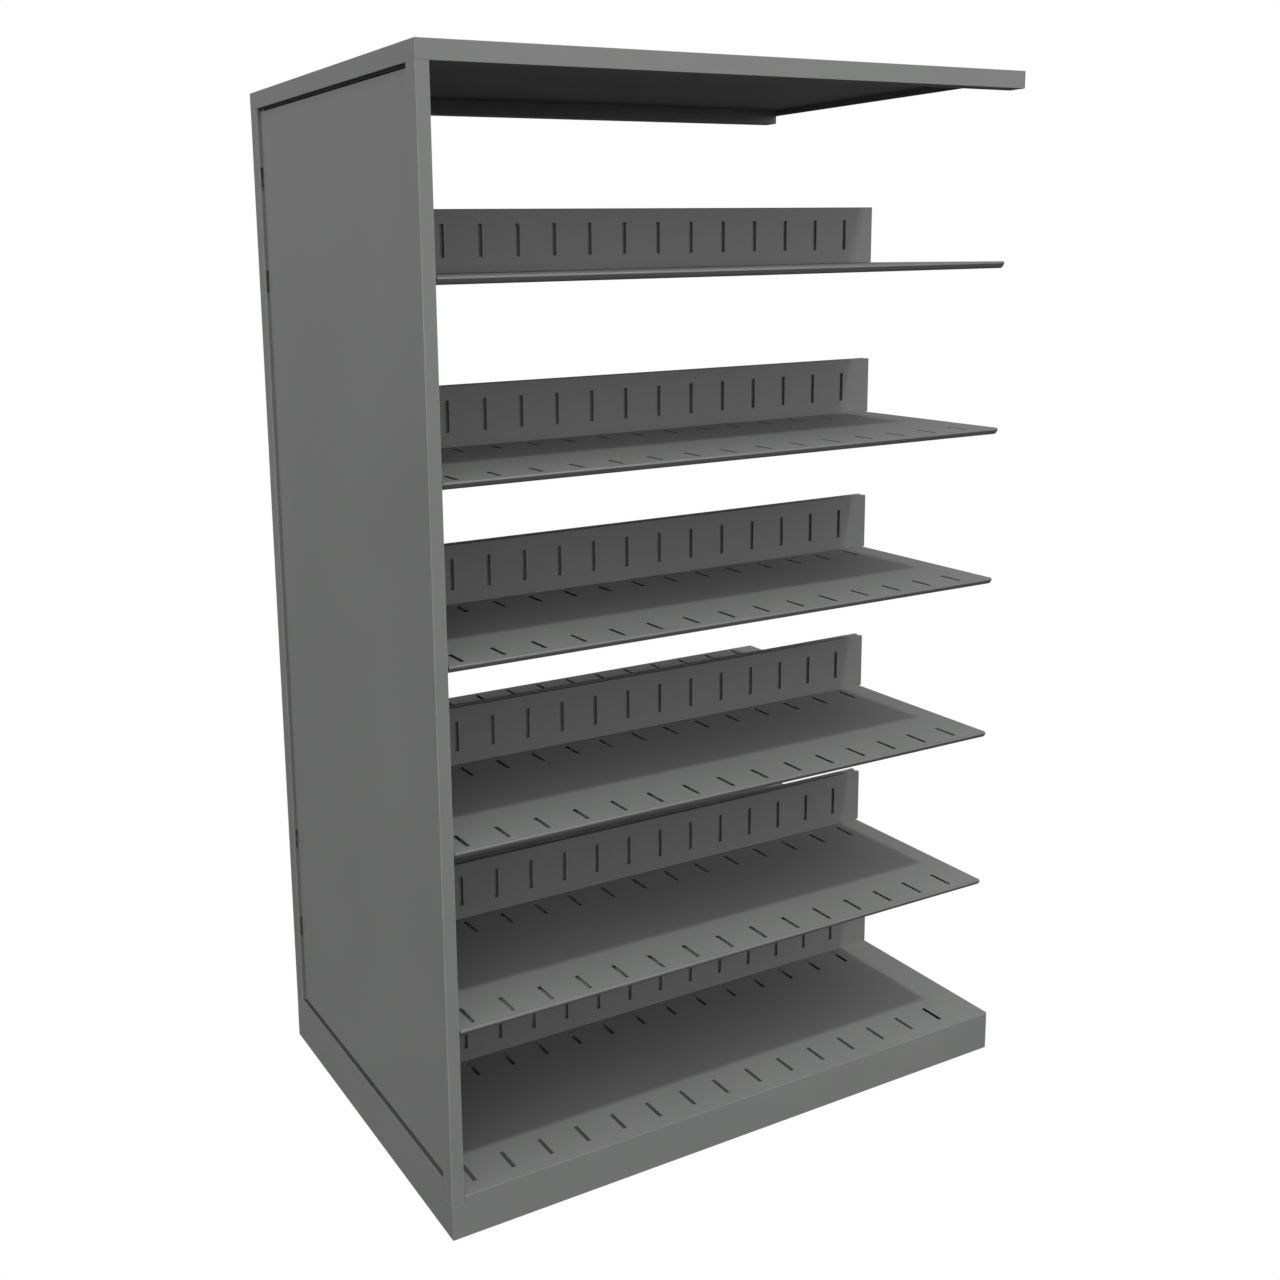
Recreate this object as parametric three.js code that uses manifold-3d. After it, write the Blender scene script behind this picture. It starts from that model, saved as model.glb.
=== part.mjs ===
// Double sided library shelving: one bay of folded sheet steel, built on a left end frame.
// Units are millimetres. The origin is at the bottom centre, X runs along the bay,
// -Y is the front side and +Z is up.
import * as THREE from 'three';
import { mergeVertices } from 'three/addons/utils/BufferGeometryUtils.js';
import Module from 'manifold-3d';

// Whole bay
const OVERALL_WIDTH = 1254;
const OVERALL_DEPTH = 790;
const OVERALL_HEIGHT = 2000;

// Steel sheet thickness
const FRAME_SHEET = 2;
const CANOPY_SHEET = 1.5;
const PANEL_SHEET = 1.2;
const SHELF_SHEET = 1.2;
const ARM_SHEET = 2.5;
const GUSSET_SHEET = 4;

// Clearances
const SLIDING_CLEARANCE = 0.3;
const PANEL_SIDE_GAP = 1;
const PANEL_LIFT_GAP = 6;
const PANEL_FOOT_GAP = 2;
const SHELF_END_CLEARANCE = 2;
const BACK_TO_BACK_GAP = 6;

// End frame
const FRAME_THICKNESS = 24;
const POST_WIDTH = 36;
const POST_FOOT_HEIGHT = 66;
const POST_INNER_RETURN = 6;
const REBATE_FLANGE = 16;
const RAIL_HEIGHT = 50;

// End panel and its hooks
const PANEL_RECESS = 7.5;
const PANEL_HEM = 12;
const PANEL_HOOK_INSETS = [147, 345];
const PANEL_HOOK_NECK = 20;
const PANEL_HOOK_TAIL = 4.5;
const PANEL_HOOK_WIDTH = 6;
const PANEL_SLOT_HEIGHT = 42;
const PANEL_SLOT_WIDTH = 8;
const PANEL_SLOT_REACH = 7;

// Canopy
const CANOPY_LIP = 32;
const CANOPY_RETURN = 38;
const CANOPY_END_FLANGE = 15;

// Plinth
const DECK_HEIGHT = 81;
const PLINTH_END_HEIGHT = 100;
const PLINTH_RETURN = 30;
const BEARER_WIDTH = 60;

// Slotted centre upright
const UPRIGHT_WIDTH = 60;
const UPRIGHT_LIP = 12;
const UPRIGHT_FIRST_SLOT = 146;
const UPRIGHT_SLOT_PITCH = 20;
const UPRIGHT_HEAD_MARGIN = 118;
const UPRIGHT_SLOT_HEIGHT = 14;

// Cantilever arms
const ARM_ROOT_HEIGHT = 75;
const ARM_TIP_HEIGHT = 18;
const ARM_FLANGE = 34;
const ARM_TIP_CLEARANCE = 6;
const ARM_HOOK_DROP = 62;
const ARM_HOOK_STEPS = 2;
const ARM_HOOK_NECK = 8;
const ARM_HOOK_TAIL = 7;

// Shelves
const SHELF_RIGHT_SETBACK = 35;
const SHELF_COUNT = 5;
const LOWEST_SHELF_STEP = 9;
const STEPS_OVER_TOP_SHELF = 13;
const SHELF_LIP = 13;
const SHELF_LIP_BEND = 4;
const BEND_STEPS = 4;
const HEM_PAST_SLOTS = 80;
const BACKSTOP_HEIGHT = 115;
const BACKSTOP_THICKNESS = 9;
const BACKSTOP_BACK_FOOT = 20;
const BACKSTOP_OVERHANG = 6;

// Divider slots in decks and backstops
const DIVIDER_SLOT_PITCH = 78;
const DIVIDER_SLOT_WIDTH = 8;
const DIVIDER_SLOT_LENGTH = 54;
const DIVIDER_SLOT_LEFT_MARGIN = 32;
const DIVIDER_SLOT_RIGHT_MARGIN = 50;
const SHELF_FRONT_ROW = 16;
const SHELF_REAR_ROW_INSET = 22;
const BASE_FRONT_ROW = 26;
const BASE_REAR_ROW_INSET = 14;
const BACKSTOP_SLOT_FOOT = 28;
const BACKSTOP_SLOT_LENGTH = 60;

// Levelling feet
const FOOT_INSET = 46;
const FOOT_PAD_DIAMETER = 26;
const FOOT_PAD_HEIGHT = 8;
const FOOT_STEM_DIAMETER = 8;
const FOOT_STEM_TOP = 62;
const FOOT_SIDES = 16;
const GUSSET_SIZE = 64;
const GUSSET_CORNER_CUT = 20;
const GUSSET_HEIGHT = 30;

// Reference planes worked out from the sizes above
const LEFT = -OVERALL_WIDTH / 2;
const RIGHT = OVERALL_WIDTH / 2;
const HALF_DEPTH = OVERALL_DEPTH / 2;
const FRAME_INSIDE = LEFT + FRAME_THICKNESS;
const CANOPY_UNDERSIDE = OVERALL_HEIGHT - CANOPY_LIP;
const PANEL_FACE = LEFT + PANEL_RECESS;
const PANEL_BACK = PANEL_FACE + 2 * PANEL_SHEET;
const REBATE_FACE = PANEL_BACK + SLIDING_CLEARANCE;
const PANEL_FOOT = PLINTH_END_HEIGHT + PANEL_FOOT_GAP;
const PANEL_HEAD = CANOPY_UNDERSIDE - PANEL_LIFT_GAP;
const PANEL_HOOK_HEIGHTS = PANEL_HOOK_INSETS.flatMap((inset) => [PANEL_FOOT + inset, PANEL_HEAD - inset]);
const HOOK_CENTRE_LINE = HALF_DEPTH - POST_WIDTH - REBATE_FLANGE / 2;
const UPRIGHT_OUTSIDE = REBATE_FACE + SLIDING_CLEARANCE;
const UPRIGHT_INSIDE = FRAME_INSIDE - FRAME_SHEET;
const UPRIGHT_SLOT_ROOM = CANOPY_UNDERSIDE - UPRIGHT_HEAD_MARGIN - UPRIGHT_FIRST_SLOT;
const UPRIGHT_SLOT_COUNT = Math.floor(UPRIGHT_SLOT_ROOM / UPRIGHT_SLOT_PITCH);
const ARM_PLANE = (UPRIGHT_OUTSIDE + UPRIGHT_INSIDE) / 2;
const ARM_FLANGE_END = ARM_PLANE + ARM_SHEET / 2 + ARM_FLANGE;
const ARM_TIP = HALF_DEPTH - POST_WIDTH - REBATE_FLANGE - ARM_TIP_CLEARANCE;
const SHELF_LEFT = FRAME_INSIDE + SHELF_END_CLEARANCE;
const SHELF_RIGHT = RIGHT - SHELF_RIGHT_SETBACK;
const SHELF_DEPTH = HALF_DEPTH - BACK_TO_BACK_GAP / 2;
const SHELF_REAR_ROW = SHELF_DEPTH - SHELF_REAR_ROW_INSET - DIVIDER_SLOT_LENGTH;
const BASE_REAR_ROW = SHELF_DEPTH - BASE_REAR_ROW_INSET - DIVIDER_SLOT_LENGTH;
const DIVIDER_SLOT_ROOM = SHELF_RIGHT - SHELF_LEFT - DIVIDER_SLOT_LEFT_MARGIN - DIVIDER_SLOT_RIGHT_MARGIN;
const DIVIDER_SLOT_COUNT = Math.floor(DIVIDER_SLOT_ROOM / DIVIDER_SLOT_PITCH) + 1;
const SHELF_STEP_RANGE = UPRIGHT_SLOT_COUNT - STEPS_OVER_TOP_SHELF - LOWEST_SHELF_STEP;
const SHELF_SLOT_STEPS = Array.from(
  { length: SHELF_COUNT },
  (_, level) => Math.round(LOWEST_SHELF_STEP + (level * SHELF_STEP_RANGE) / (SHELF_COUNT - 1)),
);
const DECK_UNDERSIDE = DECK_HEIGHT - SHELF_SHEET;
const PLINTH_INSIDE = HALF_DEPTH - FRAME_SHEET;
const PLINTH_LEFT = LEFT + FRAME_SHEET;
const PLINTH_RIGHT = RIGHT - FRAME_SHEET;
const FRONT = -1;
const REAR = 1;

const wasm = await Module();
wasm.setup();

const steel = new THREE.MeshStandardMaterial({ color: 0x6c6e6c, roughness: 0.55, metalness: 0.1 });
const innerSteel = new THREE.MeshStandardMaterial({ color: 0x5d5f5d, roughness: 0.6, metalness: 0.15 });
const zinc = new THREE.MeshStandardMaterial({ color: 0xa7aaa9, roughness: 0.4, metalness: 0.8 });

// Turns a closed geometry into a solid that can be cut and joined.
function toSolid(geometry) {
  const bare = geometry.clone();
  bare.deleteAttribute('normal');
  bare.deleteAttribute('uv');
  const merged = mergeVertices(bare, 1e-4);
  const vertProperties = new Float32Array(merged.attributes.position.array);
  const triVerts = new Uint32Array(merged.index.array);
  return new wasm.Manifold(new wasm.Mesh({ numProp: 3, vertProperties, triVerts }));
}

// Turns a solid back into a geometry.
function toGeometry(solid) {
  const mesh = solid.getMesh();
  const geometry = new THREE.BufferGeometry();
  geometry.setAttribute('position', new THREE.BufferAttribute(new Float32Array(mesh.vertProperties), 3));
  geometry.setIndex(new THREE.BufferAttribute(new Uint32Array(mesh.triVerts), 1));
  return geometry;
}

// Joins overlapping or touching geometries into one body.
function joined(geometries) {
  const solids = geometries.map(toSolid);
  return toGeometry(solids.reduce((whole, next) => whole.add(next)));
}

// Cuts every cutter out of a body.
function cut(body, cutters) {
  const solids = cutters.map(toSolid);
  return toGeometry(solids.reduce((whole, next) => whole.subtract(next), toSolid(body)));
}

// A block between two corners.
function block(low, high) {
  const size = high.map((value, axis) => value - low[axis]);
  const geometry = new THREE.BoxGeometry(...size);
  const middle = high.map((value, axis) => (value + low[axis]) / 2);
  return geometry.translate(...middle);
}

// A closed outline of a sheet folded along the outer path, the sheet lying to the left of it.
function foldedOutline(path, sheet) {
  const points = path.map(([u, v]) => new THREE.Vector2(u, v));
  const leftOf = (a, b) => {
    const along = b.clone().sub(a).normalize();
    return new THREE.Vector2(-along.y, along.x);
  };
  const inner = points.map((point, i) => {
    const before = leftOf(points[Math.max(i - 1, 0)], points[Math.max(i, 1)]);
    const after = leftOf(points[Math.min(i, points.length - 2)], points[Math.min(i + 1, points.length - 1)]);
    const mitre = before.clone().add(after).multiplyScalar(1 / (1 + before.dot(after)));
    return point.clone().add(mitre.multiplyScalar(sheet));
  });
  return [...points, ...inner.reverse()];
}

// An outline in X and Y, raised from one height to another.
function raised(outline, bottom, top) {
  const geometry = new THREE.ExtrudeGeometry(new THREE.Shape(outline), {
    depth: top - bottom,
    bevelEnabled: false,
  });
  return geometry.translate(0, 0, bottom);
}

// An outline in Y and Z, drawn out along X from one end to the other.
function drawnOut(outline, from, to) {
  const geometry = new THREE.ExtrudeGeometry(new THREE.Shape(outline), {
    depth: to - from,
    bevelEnabled: false,
  });
  const turn = new THREE.Matrix4().makeBasis(
    new THREE.Vector3(0, 1, 0),
    new THREE.Vector3(0, 0, 1),
    new THREE.Vector3(1, 0, 0),
  );
  return geometry.applyMatrix4(turn).translate(from, 0, 0);
}

// Mirrors an outline's depth for the chosen side: distances from the outer face become Y.
function onSide(side, path) {
  return path.map(([fromFace, height]) => [side * (HALF_DEPTH - fromFace), height]);
}

// Rounds the right-angled corners of a path that carry a bend radius as their third number.
function bent(path) {
  return path.flatMap(([u, v, radius = 0], i) => {
    if (!radius) return [[u, v]];
    const corner = new THREE.Vector2(u, v);
    const towards = (j) => new THREE.Vector2(path[j][0], path[j][1]).sub(corner).setLength(radius);
    const [back, ahead] = [towards(i - 1), towards(i + 1)];
    const centre = corner.clone().add(back).add(ahead);
    return Array.from({ length: BEND_STEPS + 1 }, (_, step) => {
      const turn = (step * Math.PI) / 2 / BEND_STEPS;
      const point = centre.clone();
      point.addScaledVector(ahead, -Math.cos(turn)).addScaledVector(back, -Math.sin(turn));
      return [point.x, point.y];
    });
  });
}

// The path runs the other way round on the mirrored side, so that the sheet stays inside it.
function foldedOnSide(side, path, sheet) {
  const placed = onSide(side, bent(path));
  return foldedOutline(side === FRONT ? placed : placed.reverse(), sheet);
}

// Both Y limits of a strip measured from the outer face of one side, in rising order.
function strip(side, fromFace, toFace) {
  return [side * (HALF_DEPTH - fromFace), side * (HALF_DEPTH - toFace)].sort((a, b) => a - b);
}

const unit = new THREE.Group();
unit.name = 'double_sided_library_shelving';

function addPiece(name, geometry, material, height = 0) {
  const mesh = new THREE.Mesh(geometry, material);
  mesh.name = name;
  mesh.position.z = height;
  unit.add(mesh);
}

// Canopy: a tray with boxed front and rear edges, closed at the left end, with a shallow right flange
function canopyGeometry() {
  const innerEdge = HALF_DEPTH - CANOPY_RETURN;
  const boxTop = OVERALL_HEIGHT - CANOPY_SHEET - SLIDING_CLEARANCE;
  const profile = foldedOutline([
    [innerEdge, boxTop],
    [innerEdge, CANOPY_UNDERSIDE],
    [HALF_DEPTH, CANOPY_UNDERSIDE],
    [HALF_DEPTH, OVERALL_HEIGHT],
    [-HALF_DEPTH, OVERALL_HEIGHT],
    [-HALF_DEPTH, CANOPY_UNDERSIDE],
    [-innerEdge, CANOPY_UNDERSIDE],
    [-innerEdge, boxTop],
  ], CANOPY_SHEET);
  const tray = drawnOut(profile, LEFT, RIGHT);
  const endLip = block(
    [LEFT, -HALF_DEPTH, CANOPY_UNDERSIDE],
    [LEFT + CANOPY_SHEET, HALF_DEPTH, OVERALL_HEIGHT],
  );
  const endReturn = block(
    [LEFT, -HALF_DEPTH, CANOPY_UNDERSIDE],
    [FRAME_INSIDE, HALF_DEPTH, CANOPY_UNDERSIDE + CANOPY_SHEET],
  );
  const rightFlange = block(
    [RIGHT - CANOPY_SHEET, -innerEdge, OVERALL_HEIGHT - CANOPY_END_FLANGE],
    [RIGHT, innerEdge, OVERALL_HEIGHT],
  );
  return joined([tray, endLip, endReturn, rightFlange]);
}

// Post: one folded section with the end panel's rebate, slotted across the fold for the panel's hooks
function postGeometry(side) {
  const path = [
    [REBATE_FACE, POST_WIDTH + REBATE_FLANGE],
    [REBATE_FACE, POST_WIDTH],
    [LEFT, POST_WIDTH],
    [LEFT, 0],
    [FRAME_INSIDE, 0],
    [FRAME_INSIDE, POST_WIDTH],
    [FRAME_INSIDE - POST_INNER_RETURN, POST_WIDTH],
  ].map(([x, fromFace]) => [x, side * (HALF_DEPTH - fromFace)]);
  const outline = foldedOutline(side === FRONT ? path : path.reverse(), FRAME_SHEET);
  const section = raised(outline, POST_FOOT_HEIGHT, CANOPY_UNDERSIDE);
  const slotInside = HALF_DEPTH - HOOK_CENTRE_LINE + PANEL_SLOT_WIDTH / 2;
  const [near, far] = strip(side, POST_WIDTH - 2 * FRAME_SHEET, slotInside);
  const slots = PANEL_HOOK_HEIGHTS.map((height) => block(
    [REBATE_FACE - PANEL_SLOT_REACH, near, height],
    [REBATE_FACE + 2 * FRAME_SHEET, far, height + PANEL_SLOT_HEIGHT],
  ));
  return cut(section, slots);
}

// End panel: hemmed sheet with hooks that pass through the posts' slots and turn down behind them
function endPanelGeometry() {
  const halfWidth = HALF_DEPTH - POST_WIDTH - PANEL_SIDE_GAP;
  const face = block([PANEL_FACE, -halfWidth, PANEL_FOOT], [PANEL_FACE + PANEL_SHEET, halfWidth, PANEL_HEAD]);
  const back = block([PANEL_FACE, -halfWidth, PANEL_FOOT], [PANEL_BACK, halfWidth, PANEL_HEAD]);
  const hollow = block(
    [PANEL_FACE + PANEL_SHEET, -halfWidth + PANEL_HEM, PANEL_FOOT + PANEL_HEM],
    [PANEL_BACK + PANEL_SHEET, halfWidth - PANEL_HEM, PANEL_HEAD - PANEL_HEM],
  );
  const hooks = [FRONT, REAR].flatMap((side) => PANEL_HOOK_HEIGHTS.flatMap((height) => {
    const centre = side * HOOK_CENTRE_LINE;
    const near = centre - PANEL_HOOK_WIDTH / 2;
    const far = centre + PANEL_HOOK_WIDTH / 2;
    const tailFace = REBATE_FACE + FRAME_SHEET + SLIDING_CLEARANCE;
    const top = height + PANEL_HOOK_NECK;
    return [
      block([PANEL_FACE, near, height], [tailFace + FRAME_SHEET, far, top]),
      block([tailFace, near, height - PANEL_HOOK_TAIL], [tailFace + FRAME_SHEET, far, top]),
    ];
  }));
  return joined([face, cut(back, [hollow]), ...hooks]);
}

// Top rail: an angle between the posts, under the canopy's end return
function topRailGeometry() {
  const profile = foldedOutline([
    [FRAME_INSIDE, CANOPY_UNDERSIDE - RAIL_HEIGHT],
    [FRAME_INSIDE, CANOPY_UNDERSIDE],
    [REBATE_FACE + FRAME_SHEET + SLIDING_CLEARANCE, CANOPY_UNDERSIDE],
  ], FRAME_SHEET);
  const halfSpan = HALF_DEPTH - POST_WIDTH;
  const geometry = new THREE.ExtrudeGeometry(new THREE.Shape(profile), {
    depth: 2 * halfSpan,
    bevelEnabled: false,
  });
  return geometry.rotateX(Math.PI / 2).translate(0, halfSpan, 0);
}

// Centre upright: lipped channel with a column of hook slots in each side flange
function centreUprightGeometry() {
  const half = UPRIGHT_WIDTH / 2;
  const outline = foldedOutline([
    [UPRIGHT_OUTSIDE, UPRIGHT_LIP - half],
    [UPRIGHT_OUTSIDE, -half],
    [UPRIGHT_INSIDE, -half],
    [UPRIGHT_INSIDE, half],
    [UPRIGHT_OUTSIDE, half],
    [UPRIGHT_OUTSIDE, half - UPRIGHT_LIP],
  ], FRAME_SHEET);
  const channel = raised(outline, POST_FOOT_HEIGHT, CANOPY_UNDERSIDE - RAIL_HEIGHT / 2);
  const reach = ARM_SHEET / 2 + SLIDING_CLEARANCE;
  const slots = Array.from({ length: UPRIGHT_SLOT_COUNT }, (_, step) => {
    const bottom = UPRIGHT_FIRST_SLOT + step * UPRIGHT_SLOT_PITCH;
    return block(
      [ARM_PLANE - reach, -UPRIGHT_WIDTH, bottom],
      [ARM_PLANE + reach, UPRIGHT_WIDTH, bottom + UPRIGHT_SLOT_HEIGHT],
    );
  });
  return cut(channel, slots);
}

// Cantilever arm: tapered web with two hooks, and a flange turned under the shelf's end
function armGeometry(side) {
  const root = UPRIGHT_WIDTH / 2;
  const behind = root - FRAME_SHEET - SLIDING_CLEARANCE;
  const tailEnd = behind - ARM_SHEET;
  const web = drawnOut([
    [side * root, 0],
    [side * root, -ARM_ROOT_HEIGHT],
    [side * ARM_TIP, -ARM_TIP_HEIGHT],
    [side * ARM_TIP, 0],
  ].map(([y, z]) => new THREE.Vector2(y, z)), ARM_PLANE - ARM_SHEET / 2, ARM_PLANE + ARM_SHEET / 2);
  const between = (fromCentre, toCentre, low, high, right) => {
    const limits = [side * fromCentre, side * toCentre].sort((a, b) => a - b);
    return block([ARM_PLANE - ARM_SHEET / 2, limits[0], low], [right, limits[1], high]);
  };
  const webRight = ARM_PLANE + ARM_SHEET / 2;
  const flange = between(root + ARM_SHEET, ARM_TIP, -ARM_SHEET, 0, ARM_FLANGE_END);
  const hooks = [0, ARM_HOOK_STEPS].flatMap((steps) => {
    const seat = steps * UPRIGHT_SLOT_PITCH - ARM_HOOK_DROP;
    return [
      between(tailEnd, root + ARM_SHEET, seat, seat + ARM_HOOK_NECK, webRight),
      between(tailEnd, behind, seat - ARM_HOOK_TAIL, seat + ARM_HOOK_NECK, webRight),
    ];
  });
  return joined([web, flange, ...hooks]);
}

// Cutters for a row of divider slots, given the limits of one slot in Y and Z
function dividerSlots(yLimits, zLimits) {
  return Array.from({ length: DIVIDER_SLOT_COUNT }, (_, index) => {
    const centre = SHELF_LEFT + DIVIDER_SLOT_LEFT_MARGIN + index * DIVIDER_SLOT_PITCH;
    return block(
      [centre - DIVIDER_SLOT_WIDTH / 2, yLimits[0], zLimits[0]],
      [centre + DIVIDER_SLOT_WIDTH / 2, yLimits[1], zLimits[1]],
    );
  });
}

// Two rows of divider slots through a deck whose top is at height 0
function deckSlots(side, rowStarts) {
  const through = [-2 * SHELF_SHEET, SHELF_SHEET];
  return rowStarts.flatMap((start) => dividerSlots(strip(side, start, start + DIVIDER_SLOT_LENGTH), through));
}

// Adjustable deck: rolled front edge, hems under the slot rows, a notch for the arm, top at height 0
function shelfDeckGeometry(side) {
  const outline = foldedOnSide(side, [
    [SHELF_REAR_ROW - HEM_PAST_SLOTS, -SHELF_LIP],
    [SHELF_DEPTH, -SHELF_LIP],
    [SHELF_DEPTH, 0],
    [0, 0, SHELF_LIP_BEND],
    [0, -SHELF_LIP, SHELF_LIP_BEND],
    [SHELF_FRONT_ROW + DIVIDER_SLOT_LENGTH + HEM_PAST_SLOTS, -SHELF_LIP],
  ], SHELF_SHEET);
  const sheet = drawnOut(outline, SHELF_LEFT, SHELF_RIGHT);
  const [low, high] = strip(side, HALF_DEPTH - ARM_TIP - SHELF_END_CLEARANCE, HALF_DEPTH - UPRIGHT_WIDTH / 2);
  const armNotch = block(
    [FRAME_INSIDE, low, -2 * SHELF_LIP],
    [ARM_FLANGE_END + SHELF_END_CLEARANCE, high, -SHELF_LIP / 2],
  );
  return cut(sheet, [armNotch, ...deckSlots(side, [SHELF_FRONT_ROW, SHELF_REAR_ROW])]);
}

// Base deck: plain sheet on the plinth's returns, top at height 0
function baseDeckGeometry(side) {
  const [low, high] = strip(side, 0, SHELF_DEPTH);
  const sheet = block([SHELF_LEFT, low, -SHELF_SHEET], [RIGHT, high, 0]);
  return cut(sheet, deckSlots(side, [BASE_FRONT_ROW, BASE_REAR_ROW]));
}

// Backstop: hollow folded panel, slotted in its front face, its foot turned back over the deck's rear edge
function backstopGeometry(side, right) {
  const face = SHELF_DEPTH - BACKSTOP_THICKNESS;
  const outline = foldedOnSide(side, [
    [SHELF_DEPTH, BACKSTOP_BACK_FOOT],
    [SHELF_DEPTH, BACKSTOP_HEIGHT],
    [face, BACKSTOP_HEIGHT],
    [face, 0],
    [SHELF_DEPTH, 0],
  ], SHELF_SHEET);
  const sheet = drawnOut(outline, SHELF_LEFT, right);
  const heights = [BACKSTOP_SLOT_FOOT, BACKSTOP_SLOT_FOOT + BACKSTOP_SLOT_LENGTH];
  return cut(sheet, dividerSlots(strip(side, face - SHELF_SHEET, face + 2 * SHELF_SHEET), heights));
}

// Plinth end: face sheet raised between the posts, with a floor return and post seats
function plinthEndGeometry() {
  const span = HALF_DEPTH - POST_WIDTH;
  const low = block([LEFT, -HALF_DEPTH, 0], [PLINTH_LEFT, HALF_DEPTH, POST_FOOT_HEIGHT]);
  const high = block([LEFT, -span, 0], [PLINTH_LEFT, span, PLINTH_END_HEIGHT]);
  const floorReturn = block([LEFT, -PLINTH_INSIDE, 0], [LEFT + PLINTH_RETURN, PLINTH_INSIDE, FRAME_SHEET]);
  const seat = (near, far) => block(
    [LEFT, near, POST_FOOT_HEIGHT - FRAME_SHEET],
    [FRAME_INSIDE, far, POST_FOOT_HEIGHT],
  );
  return joined([
    low,
    high,
    floorReturn,
    seat(-PLINTH_INSIDE, -span),
    seat(-UPRIGHT_WIDTH / 2, UPRIGHT_WIDTH / 2),
    seat(span, PLINTH_INSIDE),
  ]);
}

// Plinth side: channel that carries the base deck's outer edge, cut down under the post
function plinthSideGeometry(side) {
  const channel = foldedOnSide(side, [
    [PLINTH_RETURN, DECK_UNDERSIDE],
    [0, DECK_UNDERSIDE],
    [0, 0],
    [PLINTH_RETURN, 0],
  ], FRAME_SHEET);
  const [low, high] = strip(side, 0, FRAME_SHEET);
  return joined([
    drawnOut(channel, LEFT + PLINTH_RETURN, RIGHT - PLINTH_RETURN),
    block([PLINTH_LEFT, low, 0], [PLINTH_RIGHT, high, POST_FOOT_HEIGHT]),
    block([FRAME_INSIDE, low, 0], [PLINTH_RIGHT, high, DECK_UNDERSIDE]),
  ]);
}

// Plinth's right end: channel between the plinth sides
function plinthRightEndGeometry() {
  const profile = foldedOutline([
    [RIGHT - PLINTH_RETURN, 0],
    [RIGHT, 0],
    [RIGHT, DECK_UNDERSIDE],
    [RIGHT - PLINTH_RETURN, DECK_UNDERSIDE],
  ], FRAME_SHEET);
  const geometry = new THREE.ExtrudeGeometry(new THREE.Shape(profile), {
    depth: 2 * PLINTH_INSIDE,
    bevelEnabled: false,
  });
  const channel = geometry.rotateX(Math.PI / 2).translate(0, PLINTH_INSIDE, 0);
  const edge = block([PLINTH_RIGHT, -HALF_DEPTH, 0], [RIGHT, HALF_DEPTH, DECK_UNDERSIDE]);
  return joined([channel, edge]);
}

// Centre bearer: inverted channel under the inner edges of both base decks
function bearerGeometry() {
  const half = BEARER_WIDTH / 2;
  const outline = foldedOutline([
    [half, 0],
    [half, DECK_UNDERSIDE],
    [-half, DECK_UNDERSIDE],
    [-half, 0],
  ], FRAME_SHEET);
  return drawnOut(outline, LEFT + PLINTH_RETURN, RIGHT - PLINTH_RETURN);
}

// Corner gusset: drilled plate in a corner of the plinth, pointing inwards along X and Y
function gussetGeometry(inwardX, inwardY) {
  const corner = [
    [0, 0],
    [GUSSET_SIZE, 0],
    [GUSSET_SIZE, GUSSET_SIZE - GUSSET_CORNER_CUT],
    [GUSSET_SIZE - GUSSET_CORNER_CUT, GUSSET_SIZE],
    [0, GUSSET_SIZE],
  ].map(([x, y]) => new THREE.Vector2(inwardX * x, inwardY * y));
  const plate = raised(corner, 0, GUSSET_SHEET);
  const centre = FOOT_INSET - FRAME_SHEET;
  const radius = FOOT_STEM_DIAMETER / 2 + SLIDING_CLEARANCE;
  const drill = new THREE.CylinderGeometry(radius, radius, 4 * GUSSET_SHEET, FOOT_SIDES).rotateX(Math.PI / 2);
  drill.translate(inwardX * centre, inwardY * centre, 0);
  return cut(plate, [drill]).translate(-inwardX * PLINTH_RIGHT, -inwardY * PLINTH_INSIDE, 0);
}

// Levelling foot: pad and threaded stem turned as one piece
function footGeometry(inwardX, inwardY) {
  const profile = [
    [0, 0],
    [FOOT_PAD_DIAMETER / 2, 0],
    [FOOT_PAD_DIAMETER / 2, FOOT_PAD_HEIGHT / 2],
    [FOOT_STEM_DIAMETER / 2, FOOT_PAD_HEIGHT],
    [FOOT_STEM_DIAMETER / 2, FOOT_STEM_TOP],
    [0, FOOT_STEM_TOP],
  ].map(([radius, height]) => new THREE.Vector2(radius, height));
  const geometry = new THREE.LatheGeometry(profile, FOOT_SIDES).rotateX(Math.PI / 2);
  return geometry.translate(-inwardX * (RIGHT - FOOT_INSET), -inwardY * (HALF_DEPTH - FOOT_INSET), 0);
}

addPiece('canopy', canopyGeometry(), steel);
addPiece('end_panel', endPanelGeometry(), steel);
addPiece('top_rail', topRailGeometry(), innerSteel);
addPiece('centre_upright', centreUprightGeometry(), innerSteel);
addPiece('plinth_left_end', plinthEndGeometry(), steel);
addPiece('plinth_right_end', plinthRightEndGeometry(), steel);
addPiece('base_bearer', bearerGeometry(), innerSteel);

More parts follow.
